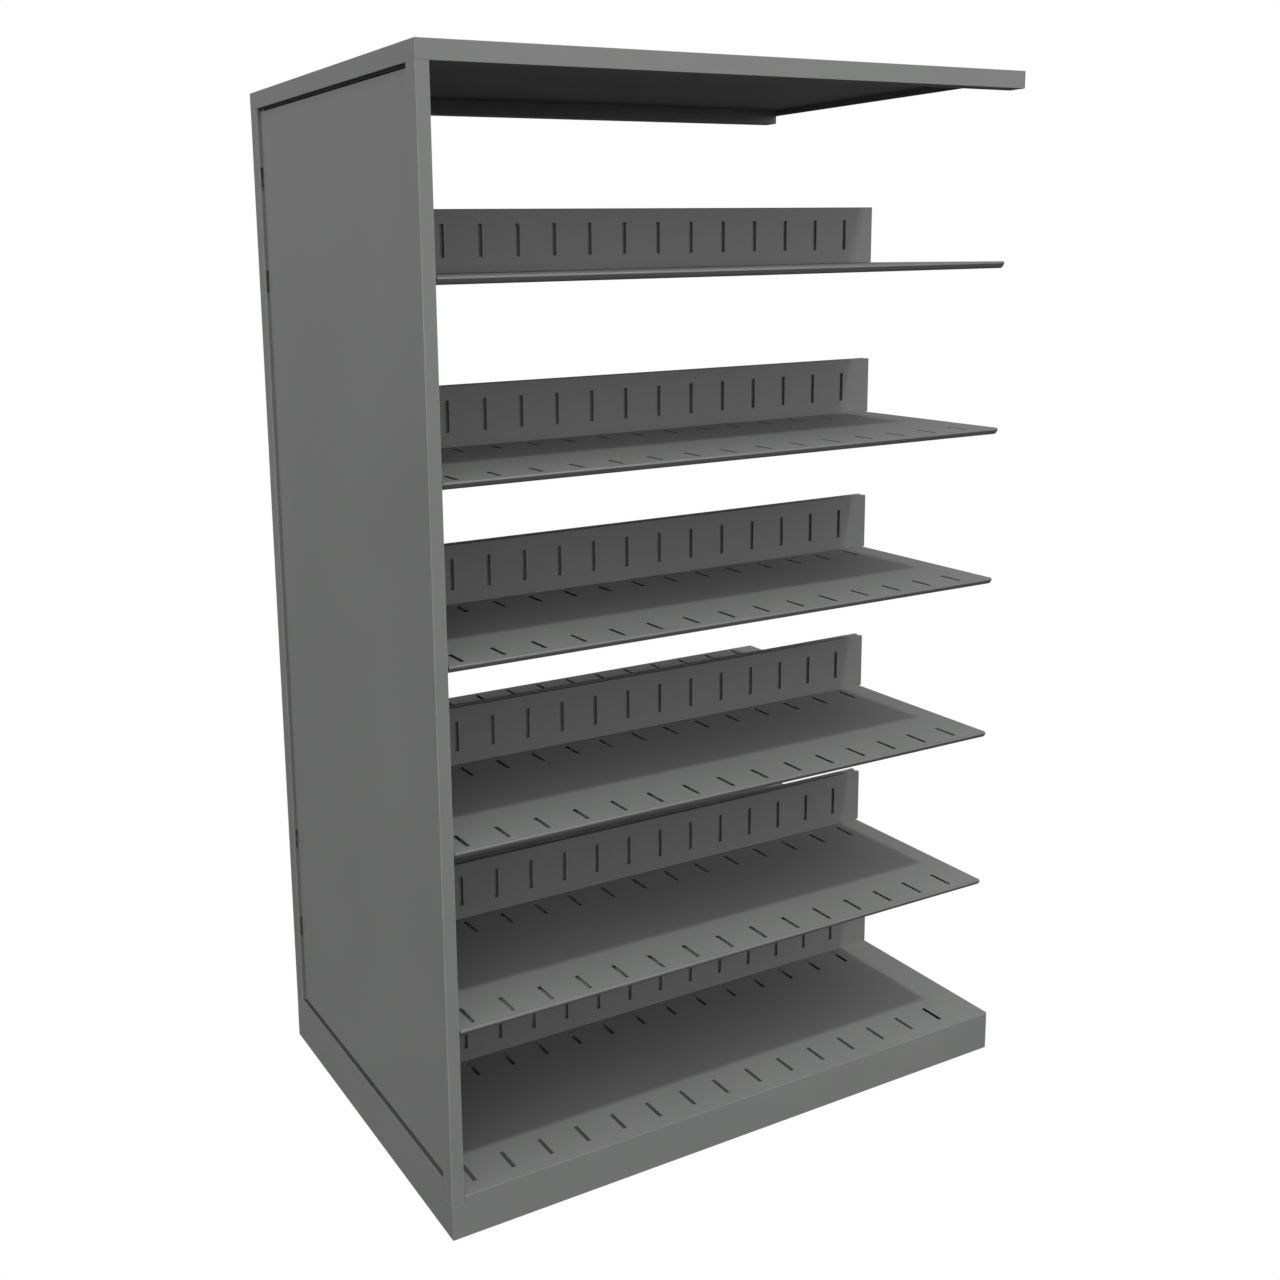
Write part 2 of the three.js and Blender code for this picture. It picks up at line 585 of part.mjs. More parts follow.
const BACKSTOP_RIGHT = SHELF_RIGHT + BACKSTOP_OVERHANG;
for (const [side, sideName] of [[FRONT, 'front'], [REAR, 'rear']]) {
  addPiece(`${sideName}_post`, postGeometry(side), steel);
  addPiece(`plinth_${sideName}`, plinthSideGeometry(side), steel);
  addPiece(`${sideName}_base_deck`, baseDeckGeometry(side), steel, DECK_HEIGHT);
  addPiece(`${sideName}_base_backstop`, backstopGeometry(side, RIGHT), steel, DECK_HEIGHT);

  const deck = shelfDeckGeometry(side);
  const backstop = backstopGeometry(side, BACKSTOP_RIGHT);
  const arm = armGeometry(side);
  SHELF_SLOT_STEPS.forEach((step, index) => {
    const underside = UPRIGHT_FIRST_SLOT + step * UPRIGHT_SLOT_PITCH + ARM_HOOK_DROP;
    const top = underside + SHELF_SHEET;
    const level = index + 1;
    addPiece(`${sideName}_shelf_${level}_arm`, arm, innerSteel, underside);
    addPiece(`${sideName}_shelf_${level}_deck`, deck, steel, top);
    addPiece(`${sideName}_shelf_${level}_backstop`, backstop, steel, top);
  });

  for (const [inwardX, endName] of [[1, 'left'], [-1, 'right']]) {
    addPiece(`${sideName}_${endName}_gusset`, gussetGeometry(inwardX, -side), innerSteel, GUSSET_HEIGHT);
    addPiece(`${sideName}_${endName}_foot`, footGeometry(inwardX, -side), zinc);
  }
}

export default unit;
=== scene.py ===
"""Looks of the double sided library shelving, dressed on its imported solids."""

import logging
import math
from dataclasses import dataclass, field
from enum import Enum, IntEnum

import bmesh
import bpy
from mathutils import Matrix, Vector


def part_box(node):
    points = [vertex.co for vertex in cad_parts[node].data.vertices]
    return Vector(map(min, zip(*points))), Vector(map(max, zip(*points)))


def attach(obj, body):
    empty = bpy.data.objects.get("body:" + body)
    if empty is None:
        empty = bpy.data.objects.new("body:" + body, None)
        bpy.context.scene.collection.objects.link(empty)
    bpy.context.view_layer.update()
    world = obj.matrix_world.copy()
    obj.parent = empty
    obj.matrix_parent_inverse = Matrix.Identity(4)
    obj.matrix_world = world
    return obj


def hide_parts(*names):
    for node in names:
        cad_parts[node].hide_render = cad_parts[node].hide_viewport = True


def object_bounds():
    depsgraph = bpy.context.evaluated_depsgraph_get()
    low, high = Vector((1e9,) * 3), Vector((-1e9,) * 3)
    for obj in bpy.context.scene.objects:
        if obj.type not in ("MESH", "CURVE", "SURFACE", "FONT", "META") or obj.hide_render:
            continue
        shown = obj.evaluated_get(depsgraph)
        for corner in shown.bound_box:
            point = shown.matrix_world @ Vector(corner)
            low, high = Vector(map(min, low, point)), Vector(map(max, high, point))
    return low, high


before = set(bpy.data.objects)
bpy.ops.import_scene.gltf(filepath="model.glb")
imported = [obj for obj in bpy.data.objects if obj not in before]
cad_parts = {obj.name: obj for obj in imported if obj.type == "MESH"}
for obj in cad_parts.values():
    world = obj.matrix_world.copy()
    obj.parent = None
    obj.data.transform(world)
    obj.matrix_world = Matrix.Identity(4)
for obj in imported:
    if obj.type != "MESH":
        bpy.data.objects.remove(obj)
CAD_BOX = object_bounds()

LOG = logging.getLogger("library_shelving")

Colour = tuple[float, float, float]
Point = tuple[float, float, float]

# Face layer of rounded edges, which the coats make lighter as wear and painted highlight.
WEAR_AND_HIGHLIGHT_LAYER = "wear_and_highlight_edge"
MERGE_DISTANCE = 2e-5
FOLD_MERGE_DISTANCE = 2e-4
SLIVER_DISTANCE = 2e-6
LEAST_WIDTH = 1e-6
FLAT_ANGLE = math.radians(0.4)
FOLD_ANGLE = math.radians(30)
RIM_ANGLE = math.radians(40)
FOLD_FACETS = 3
RIM_FACETS = 1
FLAT_TO_RADIUS = 2.2
FACING = 0.9


class Aisle(Enum):
    """The two sides that shelves are reached from."""

    FRONT = "front"
    REAR = "rear"


class End(Enum):
    """The two ends of the bay."""

    LEFT = "left"
    RIGHT = "right"


class DeckFace(IntEnum):
    """Finishes of a shelf deck's faces, in the order of its materials."""

    COAT = 0
    HEM = 1
    # Painted shade on the front edge and lip of the deck.
    PAINTED_LIP_SHADE = 2


class NodeTree:
    """Small helper that adds and links nodes of one node tree."""

    def __init__(self, tree: bpy.types.NodeTree) -> None:
        """Keeps the tree and empties it.

        Args:
            tree: The node tree to fill.
        """
        self.tree = tree
        self.tree.nodes.clear()

    def add(self, kind: str, **settings: object) -> bpy.types.Node:
        """Adds a node.

        Args:
            kind: Blender's name of the node type.
            **settings: Properties to set on the node.

        Returns:
            The new node.
        """
        node = self.tree.nodes.new(kind)
        for name, value in settings.items():
            setattr(node, name, value)
        return node

    def link(self, start: bpy.types.NodeSocket, end: bpy.types.NodeSocket) -> None:
        """Links two sockets."""
        self.tree.links.new(start, end)


def begin_material(name: str) -> tuple[bpy.types.Material, NodeTree, bpy.types.Node]:
    """Starts a node-based material.

    Args:
        name: Material name.

    Returns:
        The material, its emptied tree and its output node.
    """
    material = bpy.data.materials.new(name)
    material.use_nodes = True
    nodes = NodeTree(material.node_tree)
    return material, nodes, nodes.add("ShaderNodeOutputMaterial")


def put_object(name: str, content: bpy.types.ID) -> bpy.types.Object:
    """Makes an object of a mesh, light or camera and links it to the scene.

    Args:
        name: Name of the object.
        content: Its data.

    Returns:
        The object, at the origin.
    """
    thing = bpy.data.objects.new(name, content)
    bpy.context.collection.objects.link(thing)
    return thing


@dataclass(frozen=True)
class PowderCoat:
    """Matt powder coat with fine orange peel, faint clouding and lighter edges, partly rubbed wear and
    partly painted highlight.

    Attributes:
        name: Material name.
        colour: Base colour, linear.
        roughness: Mean roughness.
        peel_scale: Orange peel cells per metre.
        peel_depth: Strength of the orange peel bump.
        cloud: Share by which the colour varies over the sheet.
        edge_wear_and_highlight: How much lighter a rounded edge is, partly rubbed wear and partly painted
            highlight.
        wear_and_highlight_gain: How many times lighter than that its lightest spots of wear and painted
            highlight are.
        cloud_scale: Clouds per metre.
        speck_scale: Specks per metre.
        speck_share: Share of the specks in the blotches.
        blotch_range: Noise values between which colour and gloss vary.
        gloss_range: Roughness of the darkest and the lightest blotch, from the mean.
        peel_height: Height of the orange peel, in metres.
        specular: Specular level.
    """

    name: str
    colour: Colour
    roughness: float = 0.52
    peel_scale: float = 520.0
    peel_depth: float = 0.1
    cloud: float = 0.05
    edge_wear_and_highlight: float = 0.16
    wear_and_highlight_gain: float = 4.0
    cloud_scale: float = 3.5
    speck_scale: float = 190.0
    speck_share: float = 0.3
    blotch_range: tuple[float, float] = (0.3, 0.7)
    gloss_range: tuple[float, float] = (-0.06, 0.08)
    peel_height: float = 0.0004
    specular: float = 0.35

    def material(self) -> bpy.types.Material:
        """Builds the material.

        Returns:
            The finished procedural material.
        """
        material, nodes, output = begin_material(self.name)
        shader = nodes.add("ShaderNodeBsdfPrincipled")
        nodes.link(shader.outputs["BSDF"], output.inputs["Surface"])
        place = nodes.add("ShaderNodeTexCoord")

        cloud = self._noise(nodes, place, self.cloud_scale, detail=5.0, roughness=0.6)
        speck = self._noise(nodes, place, self.speck_scale, detail=3.0)
        peel = self._noise(nodes, place, self.peel_scale, detail=2.0)

        blotch = nodes.add("ShaderNodeMix", data_type="FLOAT")
        blotch.inputs["Factor"].default_value = self.speck_share
        nodes.link(cloud.outputs["Fac"], blotch.inputs["A"])
        nodes.link(speck.outputs["Fac"], blotch.inputs["B"])
        ramp = nodes.add("ShaderNodeValToRGB")
        shades = (1.0 - self.cloud, 1.0 + self.cloud)
        for stop, position, shade in zip(ramp.color_ramp.elements, self.blotch_range, shades):
            stop.position = position
            stop.color = self._tint(shade)
        nodes.link(blotch.outputs["Result"], ramp.inputs["Fac"])

        # Painted highlight and wear: the faces of rounded edges are made lighter, more where the clouds
        # are light.
        edge = nodes.add("ShaderNodeAttribute", attribute_name=WEAR_AND_HIGHLIGHT_LAYER)
        edge_wear_and_highlight_mask = nodes.add("ShaderNodeMath", operation="MULTIPLY")
        nodes.link(edge.outputs["Fac"], edge_wear_and_highlight_mask.inputs[0])
        nodes.link(cloud.outputs["Fac"], edge_wear_and_highlight_mask.inputs[1])
        worn_and_highlit = nodes.add("ShaderNodeMix", data_type="RGBA")
        worn_and_highlit.inputs["B"].default_value = self._tint(1.0 + self.wear_and_highlight_gain * self.edge_wear_and_highlight)
        nodes.link(edge_wear_and_highlight_mask.outputs["Value"], worn_and_highlit.inputs["Factor"])
        nodes.link(ramp.outputs["Color"], worn_and_highlit.inputs["A"])
        nodes.link(worn_and_highlit.outputs["Result"], shader.inputs["Base Color"])

        gloss = nodes.add("ShaderNodeMapRange")
        gloss.inputs["From Min"].default_value, gloss.inputs["From Max"].default_value = self.blotch_range
        gloss.inputs["To Min"].default_value = self.roughness + self.gloss_range[0]
        gloss.inputs["To Max"].default_value = self.roughness + self.gloss_range[1]
        nodes.link(blotch.outputs["Result"], gloss.inputs["Value"])
        nodes.link(gloss.outputs["Result"], shader.inputs["Roughness"])

        bump = nodes.add("ShaderNodeBump")
        bump.inputs["Strength"].default_value = self.peel_depth
        bump.inputs["Distance"].default_value = self.peel_height
        nodes.link(peel.outputs["Fac"], bump.inputs["Height"])
        nodes.link(bump.outputs["Normal"], shader.inputs["Normal"])
        shader.inputs["Specular IOR Level"].default_value = self.specular
        return material

    @staticmethod
    def _noise(
        nodes: NodeTree, place: bpy.types.Node, scale: float, detail: float, roughness: float = 0.5
    ) -> bpy.types.Node:
        """Adds noise on the piece's own coordinates.

        Args:
            nodes: The tree to add to.
            place: The texture coordinate node.
            scale: Cells per metre.
            detail: Number of finer octaves.
            roughness: Share of each finer octave.

        Returns:
            The noise node.
        """
        noise = nodes.add("ShaderNodeTexNoise")
        noise.inputs["Scale"].default_value = scale
        noise.inputs["Detail"].default_value = detail
        noise.inputs["Roughness"].default_value = roughness
        nodes.link(place.outputs["Object"], noise.inputs["Vector"])
        return noise

    def _tint(self, factor: float) -> tuple[float, float, float, float]:
        """Returns the base colour scaled by a factor, opaque."""
        return tuple(min(1.0, c * factor) for c in self.colour) + (1.0,)


@dataclass(frozen=True)
class ZincPlate:
    """Bright zinc plate with a fine crystalline mottling.

    Attributes:
        name: Material name.
        dark: Darkest colour of the mottling, linear.
        light: Lightest colour of the mottling, linear.
        metallic: Metallic share of the plate.
        crystal_scale: Crystals per metre.
        gloss_range: Roughness in the middle and at the rim of a crystal.
        relief: Strength of the bump.
        relief_height: Height of the bump, in metres.
    """

    name: str
    dark: Colour = (0.33, 0.34, 0.35)
    light: Colour = (0.5, 0.51, 0.5)
    metallic: float = 0.9
    crystal_scale: float = 260.0
    gloss_range: tuple[float, float] = (0.3, 0.5)
    relief: float = 0.15
    relief_height: float = 0.0003

    def material(self) -> bpy.types.Material:
        """Builds the material.

        Returns:
            The finished procedural material.
        """
        material, nodes, output = begin_material(self.name)
        shader = nodes.add("ShaderNodeBsdfPrincipled")
        shader.inputs["Metallic"].default_value = self.metallic
        nodes.link(shader.outputs["BSDF"], output.inputs["Surface"])
        place = nodes.add("ShaderNodeTexCoord")
        crystal = nodes.add("ShaderNodeTexVoronoi")
        crystal.inputs["Scale"].default_value = self.crystal_scale
        nodes.link(place.outputs["Object"], crystal.inputs["Vector"])
        ramp = nodes.add("ShaderNodeValToRGB")
        ramp.color_ramp.elements[0].color = self.dark + (1.0,)
        ramp.color_ramp.elements[1].color = self.light + (1.0,)
        nodes.link(crystal.outputs["Distance"], ramp.inputs["Fac"])
        nodes.link(ramp.outputs["Color"], shader.inputs["Base Color"])
        gloss = nodes.add("ShaderNodeMapRange")
        gloss.inputs["To Min"].default_value, gloss.inputs["To Max"].default_value = self.gloss_range
        nodes.link(crystal.outputs["Distance"], gloss.inputs["Value"])
        nodes.link(gloss.outputs["Result"], shader.inputs["Roughness"])
        bump = nodes.add("ShaderNodeBump")
        bump.inputs["Strength"].default_value = self.relief
        bump.inputs["Distance"].default_value = self.relief_height
        nodes.link(crystal.outputs["Distance"], bump.inputs["Height"])
        nodes.link(bump.outputs["Normal"], shader.inputs["Normal"])
        return material


@dataclass(frozen=True)
class Finishes:
    """The materials that the bay is finished in.

    Attributes:
        outside: Powder coat of everything in view but the backstops.
        backstop: Powder coat of the backstops, a little darker than the rest, as painted shade.
        inside: Powder coat of frame members behind the end panel and in the plinth.
        groove_shade: Near-black coat on the return fold in the groove below the end panel, painted shade.
        bare_and_painted_light: Galvanised sheet inside the hems of a shelf and inside the posts, made
            pale as painted light in these shaded hollows.
        painted_lip_shade: Darker copy of the powder coat, painted shade on the front edge of a shelf.
        zinc: Plating of the levelling feet.
    """

    outside: bpy.types.Material
    backstop: bpy.types.Material
    inside: bpy.types.Material
    groove_shade: bpy.types.Material
    bare_and_painted_light: bpy.types.Material
    painted_lip_shade: bpy.types.Material
    zinc: bpy.types.Material


@dataclass
class FoldedSheet:
    """One sheet steel piece with rounded folds and broken edges, standing for a CAD node.

    Attributes:
        node: Name of the CAD node.
        body: Name of the body that the piece moves with.
        slot: Material slot of the record.
        fold_radius: Outer radius of a fold, in metres.
        rim: Width of the broken edge of a cut sheet, in metres, or 0 for crisp punched edges.
        others: Finishes of the faces that differ from the rest.
    """

    node: str
    body: str
    # slot: Material slot of the record; not used.
    slot: str = "grey_powder_coat"
    fold_radius: float = 0.0016
    rim: float = 0.00025
    others: tuple[bpy.types.Material, ...] = ()

    def build(self, material: bpy.types.Material) -> bpy.types.Object:
        """Makes the piece from a merged copy of the node's mesh.

        Args:
            material: The finish of the piece.

        Returns:
            The finished object, riding on its body.
        """
        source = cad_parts[self.node]
        work = bmesh.new()
        work.from_mesh(source.data)
        bmesh.ops.remove_doubles(work, verts=work.verts[:], dist=MERGE_DISTANCE)
        bmesh.ops.dissolve_limit(work, angle_limit=FLAT_ANGLE, verts=work.verts[:], edges=work.edges[:])
        self.shape(work)
        layer = work.faces.layers.float.new(WEAR_AND_HIGHLIGHT_LAYER)
        self._round(work, self._folds(work), self.fold_radius, FOLD_FACETS, layer)
        bmesh.ops.remove_doubles(work, verts=work.verts[:], dist=FOLD_MERGE_DISTANCE)
        self._round(work, self._rims(work), self.rim, RIM_FACETS, layer)
        mesh = bpy.data.meshes.new(self.node + "_dressed")
        work.to_mesh(mesh)
        work.free()
        for finish in (material, *self.others):
            mesh.materials.append(finish)
        low, high = self.limits()
        for face in mesh.polygons:
            face.material_index = self.finish_of(face, low, high)
        piece = put_object(self.node + "_dressed", mesh)
        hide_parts(self.node)
        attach(piece, self.body)
        LOG.info("%s: %d faces", piece.name, len(mesh.polygons))
        return piece

    def shape(self, work: bmesh.types.BMesh) -> None:
        """Leaves the sheet as it is, for pieces that need no reshaping."""

    def finish_of(self, face: bpy.types.MeshPolygon, low: Vector, high: Vector) -> int:
        """Returns the number of a face's finish, given the corners of the piece's box."""
        return 0

    def limits(self) -> tuple[Vector, Vector]:
        """Returns the lowest and the highest corner of the node's box."""
        low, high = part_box(self.node)
        return Vector(low), Vector(high)

    def _folds(self, work: bmesh.types.BMesh) -> list[bmesh.types.BMEdge]:
        """Finds the outer edges of folds, where both neighbouring flats are wide.

        Args:
            work: The merged mesh.

        Returns:
            The edges to round as folds.
        """
        least = FLAT_TO_RADIUS * self.fold_radius
        return [
            edge
            for edge in work.edges
            if len(edge.link_faces) == 2
            and edge.is_convex
            and edge.calc_face_angle(0.0) > FOLD_ANGLE
            and all(self._reach(face, edge) > least for face in edge.link_faces)
        ]

    @staticmethod
    def _rims(work: bmesh.types.BMesh) -> list[bmesh.types.BMEdge]:
        """Finds the sharp outer edges that are left after the folds."""
        return [
            edge
            for edge in work.edges
            if len(edge.link_faces) == 2 and edge.is_convex and edge.calc_face_angle(0.0) > RIM_ANGLE
        ]

    @staticmethod
    def _reach(face: bmesh.types.BMFace, edge: bmesh.types.BMEdge) -> float:
        """Measures how wide a face is, straight across from the middle of one of its edges.

        Args:
            face: The face to measure.
            edge: One of its edges.

        Returns:
            The distance to the face's nearest opposite edge, in metres.
        """
        loop = next(loop for loop in edge.link_loops if loop.face is face)
        start, end = loop.vert.co, loop.link_loop_next.vert.co
        along = (end - start).normalized()
        across = face.normal.cross(along)
        middle = (start + end) / 2
        hits = [math.inf]
        for other in face.loops:
            near, far = other.vert.co - middle, other.link_loop_next.vert.co - middle
            before, after = near.dot(along), far.dot(along)
            if other is not loop and before * after <= 0.0 and before != after:
                share = before / (before - after)
                width = (near + share * (far - near)).dot(across)
                if width > LEAST_WIDTH:
                    hits.append(width)
        return min(hits)

    @staticmethod
    def _round(
        work: bmesh.types.BMesh,
        edges: list[bmesh.types.BMEdge],
        width: float,
        segments: int,
        layer: bmesh.types.BMLayerItem,
    ) -> None:
        """Rounds edges and marks the new faces for lighter paint, partly rubbed wear and partly painted
        highlight.

        Args:
            work: The mesh to change.
            edges: The edges to round.
            width: Offset of the rounding, in metres.
            segments: Number of facets across the rounding.
            layer: Face layer that marks the faces of lighter paint, partly worn and partly painted
                highlight.
        """
        if not edges or not width:
            return
        made = bmesh.ops.bevel(
            work,
            geom=edges,
            offset=width,
            offset_type="OFFSET",
            segments=segments,
            profile=0.5,
            affect="EDGES",
            clamp_overlap=False,
        )
        for face in made["faces"]:
            face[layer] = 1.0
        bmesh.ops.remove_doubles(work, verts=work.verts[:], dist=SLIVER_DISTANCE)
        bmesh.ops.dissolve_degenerate(work, edges=work.edges[:], dist=SLIVER_DISTANCE)


@dataclass
class SlottedDeck(FoldedSheet):
    """A shelf deck with a lip that leans back, bare sheet in its hems made pale as painted light, and
    painted shade on its front edge.

    Attributes:
        lean: How far the foot of the lip stands back, in metres.
        bend: Height of the bend at the head of the lip, in metres.
        painted_lip_shade: Width of the front edge that gets painted shade, in metres.
        bend_share: Depth of the lip that leans, as a share of the bend.
        hem_depth: Least depth of a hem's upper side below the deck, in metres.
        outward_least: Least outward slope of a face with painted shade.
    """

    lean: float = 0.006
    bend: float = 0.004
    painted_lip_shade: float = 0.0045
    bend_share: float = 1.4
    hem_depth: float = 0.006
    outward_least: float = 0.1

    def shape(self, work: bmesh.types.BMesh) -> None:
        """Leans the front lip back, from its bend to its foot.

        Args:
            work: The merged mesh.
        """
        low, high = self.limits()
        face = low.y if abs(low.y) > abs(high.y) else high.y
        head = high.z - self.bend
        for vert in work.verts:
            if abs(vert.co.y - face) < self.bend_share * self.bend and vert.co.z < head:
                share = (head - vert.co.z) / (head - low.z)
                vert.co.y -= math.copysign(share * self.lean, face)

    def finish_of(self, face: bpy.types.MeshPolygon, low: Vector, high: Vector) -> DeckFace:
        """Tells the upper side of a hem and the front edge with painted shade from the rest.

        Args:
            face: The face to finish.
            low: Lowest corner of the deck's box.
            high: Highest corner of the deck's box.

        Returns:
            The face's finish.
        """
        # The upper side of a hem gets the pale bare sheet, painted light in the hollow below the slots.
        if face.normal.z > FACING and face.center.z < high.z - self.hem_depth:
            return DeckFace.HEM
        reach = max(abs(low.y), abs(high.y)) - abs(face.center.y)
        outward = face.normal.y * math.copysign(1.0, face.center.y)
        near = reach < self.painted_lip_shade + self.lean
        return DeckFace.PAINTED_LIP_SHADE if near and outward > self.outward_least else DeckFace.COAT


@dataclass
class SlottedPost(FoldedSheet):
    """A post of the end frame, bare inside behind the panel's slots, in pale sheet that paints light into
    the hollow.

    Attributes:
        wall: Depth in which the inner side of the aisle face lies, in metres.
    """

    wall: float = 0.0025

    def finish_of(self, face: bpy.types.MeshPolygon, low: Vector, high: Vector) -> int:
        """Returns 1 for the inner side of the post's aisle face, 0 for the rest."""
        outward = face.normal.y * math.copysign(1.0, face.center.y)
        edge = max(abs(low.y), abs(high.y))
        return int(outward < -FACING and abs(face.center.y) > edge - self.wall)


@dataclass
class EndFrame:
    """Left end frame: posts, rail, slotted upright and the lift-off end panel.

    Attributes:
        painted: Nodes of the posts.
        hidden: Nodes of the members behind the panel.
        panel: Node and body of the panel.
        post_rim: Broken edge of the posts, in metres.
        hidden_radius: Fold radius of the members behind the panel, in metres.
        panel_radius: Fold radius of the panel, in metres.
    """

    painted: tuple[str, ...] = ("front_post", "rear_post")
    hidden: tuple[str, ...] = ("top_rail", "centre_upright")
    panel: str = "end_panel"
    post_rim: float = 0.00012
    hidden_radius: float = 0.001
    panel_radius: float = 0.0009

    def build(self, finishes: Finishes) -> list[bpy.types.Object]:
        """Makes and dresses the end frame.

        Args:
            finishes: Materials of the bay.

        Returns:
            The pieces.
        """
        pieces = [
            SlottedPost(node, "frame", rim=self.post_rim, others=(finishes.bare_and_painted_light,)).build(finishes.outside)
            for node in self.painted
        ]
        pieces += [
            FoldedSheet(node, "frame", "inner_powder_coat", self.hidden_radius).build(finishes.inside)
            for node in self.hidden
        ]
        panel = FoldedSheet(self.panel, self.panel, fold_radius=self.panel_radius)
        pieces.append(panel.build(finishes.outside))
        return pieces


@dataclass
class Canopy:
    """Tray over both aisles.

    Attributes:
        node: Node of the tray.
        radius: Fold radius of the tray, in metres.
    """

    node: str = "canopy"
    radius: float = 0.0007

    def build(self, finishes: Finishes) -> list[bpy.types.Object]:
        """Makes and dresses the canopy.

        Args:
            finishes: Materials of the bay.

        Returns:
            The piece, in a list.
        """
        return [FoldedSheet(self.node, "frame", fold_radius=self.radius).build(finishes.outside)]


@dataclass
class Plinth:
    """Plinth with its base decks, bearer, gussets and levelling feet.

    Attributes:
        faces: Nodes of the plinth's faces.
        bearer: Node of the bearer.
        groove_depth: Depth of the groove below the end panel, in metres.
        sheet: Thickness of the plinth's sheet.
        return_gap: Gap between the plinth's end and its return fold.
        return_reach: How far the return fold reaches behind the panel's face.
        deck_radius: Fold radius of base decks and backstops.
        gusset_radius: Fold radius of the gussets.
        foot_radius: Fold radius of the feet.
        foot_rim: Broken edge of the feet.
        thread_pitch: Distance between the ridges of a thread.
        thread_start: Height of the lowest ridge above the foot.
        thread_end: Height of the highest ridge above the foot.
        thread_radius: Radius of a ridge.
        ridge: Radius of a ridge's own section.
    """

    faces: tuple[str, ...] = ("plinth_left_end", "plinth_right_end", "plinth_front", "plinth_rear")
    bearer: str = "base_bearer"
    groove_depth: float = 0.0015
    sheet: float = 0.002
    return_gap: float = 0.0001
    return_reach: float = 0.0024
    deck_radius: float = 0.0012
    gusset_radius: float = 0.0008
    foot_radius: float = 0.0006
    foot_rim: float = 0.0003
    thread_pitch: float = 0.00125
    thread_start: float = 0.012
    thread_end: float = 0.06
    thread_radius: float = 0.004
    ridge: float = 0.0004

    def build(self, finishes: Finishes) -> list[bpy.types.Object]:
        """Makes and dresses the plinth.

        Args:
            finishes: Materials of the bay.

        Returns:
            The pieces.
        """
        pieces = [FoldedSheet(node, "frame").build(finishes.outside) for node in self.faces]
        # The return fold, coated near-black as painted shade in the groove below the end panel.
        pieces.append(self._return_fold(finishes.groove_shade))
        pieces.append(FoldedSheet(self.bearer, "frame", "inner_powder_coat").build(finishes.inside))
        for aisle in Aisle:
            deck = FoldedSheet(f"{aisle.value}_base_deck", "frame", fold_radius=self.deck_radius, rim=0.0)
            pieces.append(deck.build(finishes.outside))
            backstop = FoldedSheet(f"{aisle.value}_base_backstop", "frame", fold_radius=self.deck_radius)
            pieces.append(backstop.build(finishes.backstop))
            for end in End:
                corner = f"{aisle.value}_{end.value}"
                gusset = FoldedSheet(f"{corner}_gusset", "frame", "inner_powder_coat", self.gusset_radius)
                pieces.append(gusset.build(finishes.inside))
                pieces.append(self._foot(f"{corner}_foot", finishes.zinc))
                pieces.append(self._thread(f"{corner}_foot", finishes.zinc))
        return pieces

    def _return_fold(self, material: bpy.types.Material) -> bpy.types.Object:
        """Makes the narrow fold of the plinth's end that closes the groove below the end panel; its
        near-black coat is painted shade in the groove.

        Args:
            material: Its finish.

        Returns:
            The piece.
        """
        end = [Vector(corner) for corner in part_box("plinth_left_end")]
        panel = [Vector(corner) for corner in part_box("end_panel")]
        top = end[1].z - self.groove_depth
        low = Vector((end[0].x + self.sheet + self.return_gap, panel[0].y, top - self.sheet))
        high = Vector((panel[0].x + self.return_reach, panel[1].y, top))
        work = bmesh.new()
        bmesh.ops.create_cube(work, size=1.0)
        for vert in work.verts:
            vert.co = Vector(b if c > 0 else a for a, b, c in zip(low, high, vert.co))
        mesh = bpy.data.meshes.new("plinth_left_end_return")
        work.to_mesh(mesh)
        work.free()
        mesh.materials.append(material)
        piece = put_object("plinth_left_end_return", mesh)
        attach(piece, "frame")
        LOG.info("%s: %d faces", piece.name, len(mesh.polygons))
        return piece

    def _foot(self, node: str, material: bpy.types.Material) -> bpy.types.Object:
        """Makes a levelling foot with rounded rims.

        Args:
            node: Name of the foot's CAD node and body.
            material: Its finish.

        Returns:
            The piece.
        """
        return FoldedSheet(node, node, "zinc_plate", self.foot_radius, self.foot_rim).build(material)

    def _thread(self, foot: str, material: bpy.types.Material) -> bpy.types.Object:
        """Makes the ridges of a foot's thread as rings repeated up the stem.

        Args:
            foot: Name of the foot's node and body.
            material: Its finish.

        Returns:
            The piece.
        """
        low, high = (Vector(corner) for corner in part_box(foot))
        axis = (low + high) / 2
        row = RingStack(
            start=(axis.x, axis.y, low.z + self.thread_start),
            pitch=self.thread_pitch,
            count=int((self.thread_end - self.thread_start) / self.thread_pitch),
            radius=self.thread_radius,
            thickness=self.ridge,
        )
        piece = row.build(foot + "_thread", material)
        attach(piece, foot)
        LOG.info("%s: %d faces", piece.name, len(piece.data.polygons))
        return piece


